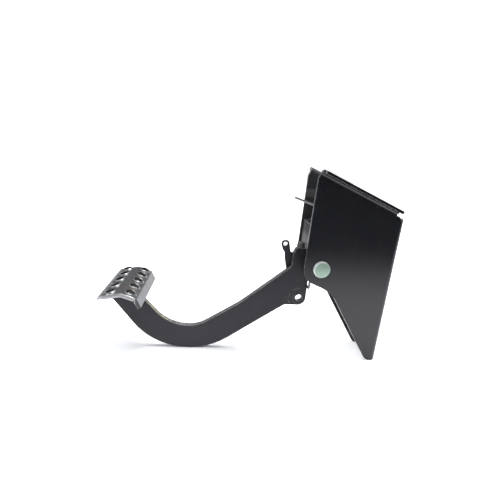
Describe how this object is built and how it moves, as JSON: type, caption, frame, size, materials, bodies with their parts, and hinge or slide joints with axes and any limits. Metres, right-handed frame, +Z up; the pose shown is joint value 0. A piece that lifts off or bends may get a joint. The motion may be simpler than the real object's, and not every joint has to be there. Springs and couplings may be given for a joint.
{
  "type": "rear brake pedal",
  "caption": "Foot brake pedal: cranked flat steel arm with a perforated pad, pivoted on a pin in a folded channel bracket with a torsion return spring.",
  "frame": {"origin": "centre of the part's outline on the ground: the part stands on the bracket's two toes and the arm's bend", "axes": "+X from the pad to the bracket's back web, +Y across the vehicle along the pivot pin towards its clip, +Z up"},
  "size_m": [0.298, 0.0774, 0.2072],
  "materials": {
    "bracket_paint": "gloss black paint",
    "arm_paint": "satin black paint, worn at the upper edge",
    "weld": "painted weld bead",
    "pad_steel": "dull plated steel, scuffed",
    "pin_zinc": "zinc plated, pale green passivate",
    "plain_steel": "zinc plated",
    "clip_steel": "blackened spring steel",
    "bush_bronze": "sintered bronze, oiled",
    "button_rubber": "moulded rubber",
    "spring_wire": "zinc plated spring wire"
  },
  "bodies": {
    "bracket": {"bracket": "bracket_paint", "stop_plate": "bracket_paint", "stop_welds": "weld", "pivot_pin": "pin_zinc", "pin_washer": "plain_steel", "pin_circlip": "clip_steel", "return_spring": "spring_wire"},
    "pedal": {"hub_tube": "arm_paint", "bush_near": "bush_bronze", "bush_far": "bush_bronze", "arm": "arm_paint", "hub_weld_near": "weld", "hub_weld_far": "weld", "pad": "pad_steel", "pad_weld_near": "weld", "pad_weld_far": "weld", "stop_button": "button_rubber", "switch_tab": "arm_paint", "tab_weld": "weld"}
  },
  "joints": [
    {"name": "pedal_pivot", "type": "hinge", "parent": "bracket", "child": "pedal", "pos_m": [0.06924, 0, 0.1073], "axis": [0, -1, 0], "range_deg": [0, 20], "stiffness_Nm_per_rad": 1.27, "springref_deg": -28.65, "deforming": ["return_spring"]}
  ]
}
